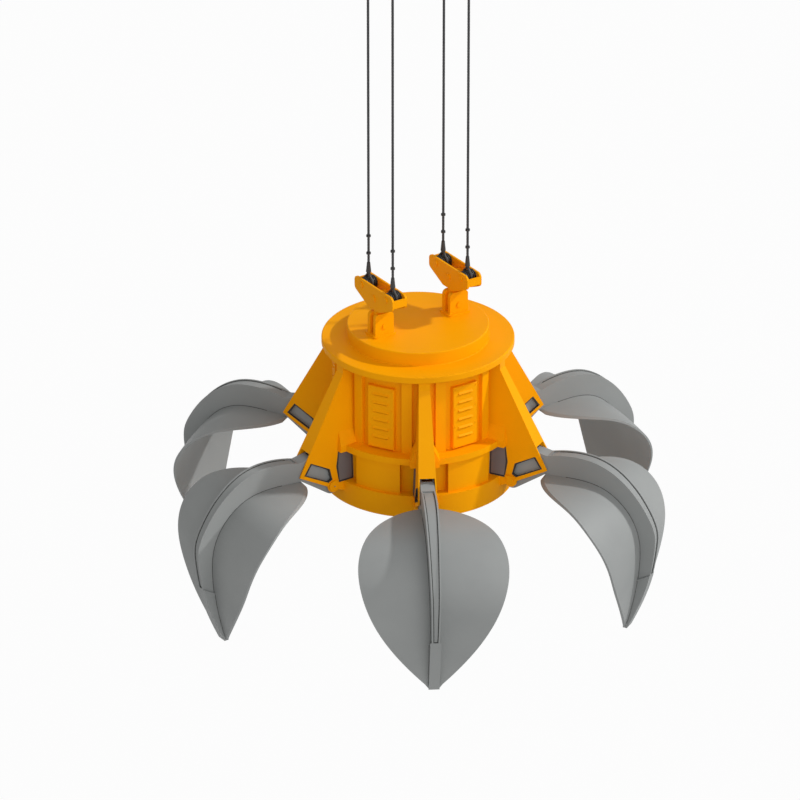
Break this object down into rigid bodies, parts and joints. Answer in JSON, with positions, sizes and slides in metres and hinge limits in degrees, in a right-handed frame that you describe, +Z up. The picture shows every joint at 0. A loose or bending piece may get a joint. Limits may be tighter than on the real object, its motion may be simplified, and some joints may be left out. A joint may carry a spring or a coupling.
{
  "type": "orange-peel grab",
  "caption": "Electro-hydraulic orange-peel grab: drum with power unit, splayed arms, leaf-shaped ribbed petals on cylinders, hung by two balance beams on wire ropes.",
  "frame": {"origin": "on the grab's axis, level with the two suspension lug pins", "axes": "+Z up along the grab's axis and the hoist ropes; petal 1 points along -Y; petals follow every 60 degrees towards +X"},
  "size_m": [4.8732, 5.2752, 6.9002],
  "materials": {
    "frame_paint": "orange gloss enamel",
    "petal_paint": "grey semi-matt enamel on plate",
    "housing_paint": "dark grey enamel",
    "pin_steel": "turned steel",
    "barrel_paint": "dark grey enamel",
    "rod_chrome": "hard chrome",
    "rope_steel": "greased wire rope",
    "fitting_steel": "dark forged steel",
    "tank_paint": "light grey enamel",
    "motor_paint": "blue-grey enamel"
  },
  "bodies": {
    "frame": {"top_deck": "frame_paint", "raised_cover": "frame_paint", "drum_shell": "frame_paint", "lower_ring": "frame_paint", "bottom_cover": "frame_paint", "hinge_housings": "housing_paint", "hinge_pins": "frame_paint", "pin_keepers": "frame_paint", "vent_covers": "frame_paint", "suspension_lugs": "frame_paint", "lug_pins": "frame_paint", "oil_tank": "tank_paint", "electric_motor": "motor_paint", "pump_and_valves": "tank_paint", "oil_pipes": "pin_steel", "arm_1": "frame_paint", "arm_2": "frame_paint", "arm_3": "frame_paint", "arm_4": "frame_paint", "arm_5": "frame_paint", "arm_6": "frame_paint"},
    "petal_1": {"petal_shell_1": "petal_paint", "petal_rib_1": "petal_paint"},
    "rod_1": {"cylinder_rod_1": "rod_chrome"},
    "barrel_1": {"cylinder_barrel_1": "barrel_paint"},
    "petal_2": {"petal_shell_2": "petal_paint", "petal_rib_2": "petal_paint"},
    "rod_2": {"cylinder_rod_2": "rod_chrome"},
    "barrel_2": {"cylinder_barrel_2": "barrel_paint"},
    "petal_3": {"petal_shell_3": "petal_paint", "petal_rib_3": "petal_paint"},
    "rod_3": {"cylinder_rod_3": "rod_chrome"},
    "barrel_3": {"cylinder_barrel_3": "barrel_paint"},
    "petal_4": {"petal_shell_4": "petal_paint", "petal_rib_4": "petal_paint"},
    "rod_4": {"cylinder_rod_4": "rod_chrome"},
    "barrel_4": {"cylinder_barrel_4": "barrel_paint"},
    "petal_5": {"petal_shell_5": "petal_paint", "petal_rib_5": "petal_paint"},
    "rod_5": {"cylinder_rod_5": "rod_chrome"},
    "barrel_5": {"cylinder_barrel_5": "barrel_paint"},
    "petal_6": {"petal_shell_6": "petal_paint", "petal_rib_6": "petal_paint"},
    "rod_6": {"cylinder_rod_6": "rod_chrome"},
    "barrel_6": {"cylinder_barrel_6": "barrel_paint"},
    "link_1": {"link_1": "frame_paint"},
    "beam_1": {"balance_beam_1": "frame_paint", "beam_pins_1": "frame_paint"},
    "rope_1": {"rope_1": "rope_steel", "rope_fittings_1": "fitting_steel"},
    "rope_2": {"rope_2": "rope_steel", "rope_fittings_2": "fitting_steel"},
    "link_2": {"link_2": "frame_paint"},
    "beam_2": {"balance_beam_2": "frame_paint", "beam_pins_2": "frame_paint"},
    "rope_3": {"rope_3": "rope_steel", "rope_fittings_3": "fitting_steel"},
    "rope_4": {"rope_4": "rope_steel", "rope_fittings_4": "fitting_steel"}
  },
  "joints": [
    {"name": "petal_hinge_1", "type": "hinge", "parent": "frame", "child": "petal_1", "pos_m": [0, -1.075, -1.58], "axis": [1, 0, 0], "range_deg": [0, 66]},
    {"name": "rod_pivot_1", "type": "hinge", "parent": "petal_1", "child": "rod_1", "pos_m": [0, -1.255, -1.255], "axis": [1, 0, 0], "range_deg": [-69.16, 0.5]},
    {"name": "barrel_slide_1", "type": "slide", "parent": "rod_1", "child": "barrel_1", "axis": [0, 0.4722, 0.8815], "range_m": [-0.002, 0.4162]},
    {"name": "petal_hinge_2", "type": "hinge", "parent": "frame", "child": "petal_2", "pos_m": [0.93098, -0.5375, -1.58], "axis": [0.5, 0.866, 0], "range_deg": [0, 66]},
    {"name": "rod_pivot_2", "type": "hinge", "parent": "petal_2", "child": "rod_2", "pos_m": [1.08686, -0.6275, -1.255], "axis": [0.5, 0.866, 0], "range_deg": [-69.16, 0.5]},
    {"name": "barrel_slide_2", "type": "slide", "parent": "rod_2", "child": "barrel_2", "axis": [-0.409, 0.2361, 0.8815], "range_m": [-0.002, 0.4162]},
    {"name": "petal_hinge_3", "type": "hinge", "parent": "frame", "child": "petal_3", "pos_m": [0.93098, 0.5375, -1.58], "axis": [-0.5, 0.866, 0], "range_deg": [0, 66]},
    {"name": "rod_pivot_3", "type": "hinge", "parent": "petal_3", "child": "rod_3", "pos_m": [1.08686, 0.6275, -1.255], "axis": [-0.5, 0.866, 0], "range_deg": [-69.16, 0.5]},
    {"name": "barrel_slide_3", "type": "slide", "parent": "rod_3", "child": "barrel_3", "axis": [-0.409, -0.2361, 0.8815], "range_m": [-0.002, 0.4162]},
    {"name": "petal_hinge_4", "type": "hinge", "parent": "frame", "child": "petal_4", "pos_m": [0, 1.075, -1.58], "axis": [-1, 0, 0], "range_deg": [0, 66]},
    {"name": "rod_pivot_4", "type": "hinge", "parent": "petal_4", "child": "rod_4", "pos_m": [0, 1.255, -1.255], "axis": [-1, 0, 0], "range_deg": [-69.16, 0.5]},
    {"name": "barrel_slide_4", "type": "slide", "parent": "rod_4", "child": "barrel_4", "axis": [0, -0.4722, 0.8815], "range_m": [-0.002, 0.4162]},
    {"name": "petal_hinge_5", "type": "hinge", "parent": "frame", "child": "petal_5", "pos_m": [-0.93098, 0.5375, -1.58], "axis": [-0.5, -0.866, 0], "range_deg": [0, 66]},
    {"name": "rod_pivot_5", "type": "hinge", "parent": "petal_5", "child": "rod_5", "pos_m": [-1.08686, 0.6275, -1.255], "axis": [-0.5, -0.866, 0], "range_deg": [-69.16, 0.5]},
    {"name": "barrel_slide_5", "type": "slide", "parent": "rod_5", "child": "barrel_5", "axis": [0.409, -0.2361, 0.8815], "range_m": [-0.002, 0.4162]},
    {"name": "petal_hinge_6", "type": "hinge", "parent": "frame", "child": "petal_6", "pos_m": [-0.93098, -0.5375, -1.58], "axis": [0.5, -0.866, 0], "range_deg": [0, 66]},
    {"name": "rod_pivot_6", "type": "hinge", "parent": "petal_6", "child": "rod_6", "pos_m": [-1.08686, -0.6275, -1.255], "axis": [0.5, -0.866, 0], "range_deg": [-69.16, 0.5]},
    {"name": "barrel_slide_6", "type": "slide", "parent": "rod_6", "child": "barrel_6", "axis": [0.409, 0.2361, 0.8815], "range_m": [-0.002, 0.4162]},
    {"name": "link_swing_1", "type": "hinge", "parent": "frame", "child": "link_1", "pos_m": [0.38538, 0.2225, 0], "axis": [0.5, -0.866, 0], "range_deg": [-5, 5]},
    {"name": "beam_tilt_1", "type": "hinge", "parent": "link_1", "child": "beam_1", "pos_m": [0.38538, 0.2225, 0.3], "axis": [0.866, 0.5, 0], "range_deg": [-10, 10]},
    {"name": "rope_pivot_1", "type": "hinge", "parent": "beam_1", "child": "rope_1", "pos_m": [0.27788, 0.40869, 0.365], "axis": [0.866, 0.5, 0], "range_deg": [-10.5, 10.5]},
    {"name": "rope_pivot_2", "type": "hinge", "parent": "beam_1", "child": "rope_2", "pos_m": [0.49288, 0.0363, 0.365], "axis": [0.866, 0.5, 0], "range_deg": [-10.5, 10.5]},
    {"name": "link_swing_2", "type": "hinge", "parent": "frame", "child": "link_2", "pos_m": [-0.38538, -0.2225, 0], "axis": [0.5, -0.866, 0], "range_deg": [-5, 5]},
    {"name": "beam_tilt_2", "type": "hinge", "parent": "link_2", "child": "beam_2", "pos_m": [-0.38538, -0.2225, 0.3], "axis": [0.866, 0.5, 0], "range_deg": [-10, 10]},
    {"name": "rope_pivot_3", "type": "hinge", "parent": "beam_2", "child": "rope_3", "pos_m": [-0.49288, -0.0363, 0.365], "axis": [0.866, 0.5, 0], "range_deg": [-10.5, 10.5]},
    {"name": "rope_pivot_4", "type": "hinge", "parent": "beam_2", "child": "rope_4", "pos_m": [-0.27788, -0.40869, 0.365], "axis": [0.866, 0.5, 0], "range_deg": [-10.5, 10.5]}
  ],
  "couplings": [
    {"joint": "rod_pivot_1", "follows": "petal_hinge_1", "ratio": -1.0251},
    {"joint": "barrel_slide_1", "follows": "petal_hinge_1", "m_per_rad": 0.35696},
    {"joint": "petal_hinge_2", "follows": "petal_hinge_1", "ratio": 1},
    {"joint": "rod_pivot_2", "follows": "petal_hinge_1", "ratio": -1.0251},
    {"joint": "barrel_slide_2", "follows": "petal_hinge_1", "m_per_rad": 0.35696},
    {"joint": "petal_hinge_3", "follows": "petal_hinge_1", "ratio": 1},
    {"joint": "rod_pivot_3", "follows": "petal_hinge_1", "ratio": -1.0251},
    {"joint": "barrel_slide_3", "follows": "petal_hinge_1", "m_per_rad": 0.35696},
    {"joint": "petal_hinge_4", "follows": "petal_hinge_1", "ratio": 1},
    {"joint": "rod_pivot_4", "follows": "petal_hinge_1", "ratio": -1.0251},
    {"joint": "barrel_slide_4", "follows": "petal_hinge_1", "m_per_rad": 0.35696},
    {"joint": "petal_hinge_5", "follows": "petal_hinge_1", "ratio": 1},
    {"joint": "rod_pivot_5", "follows": "petal_hinge_1", "ratio": -1.0251},
    {"joint": "barrel_slide_5", "follows": "petal_hinge_1", "m_per_rad": 0.35696},
    {"joint": "petal_hinge_6", "follows": "petal_hinge_1", "ratio": 1},
    {"joint": "rod_pivot_6", "follows": "petal_hinge_1", "ratio": -1.0251},
    {"joint": "barrel_slide_6", "follows": "petal_hinge_1", "m_per_rad": 0.35696},
    {"joint": "rope_pivot_1", "follows": "beam_tilt_1", "ratio": -1},
    {"joint": "rope_pivot_2", "follows": "beam_tilt_1", "ratio": -1},
    {"joint": "rope_pivot_3", "follows": "beam_tilt_2", "ratio": -1},
    {"joint": "rope_pivot_4", "follows": "beam_tilt_2", "ratio": -1},
    {"joint": "link_swing_2", "follows": "link_swing_1", "ratio": 1}
  ]
}
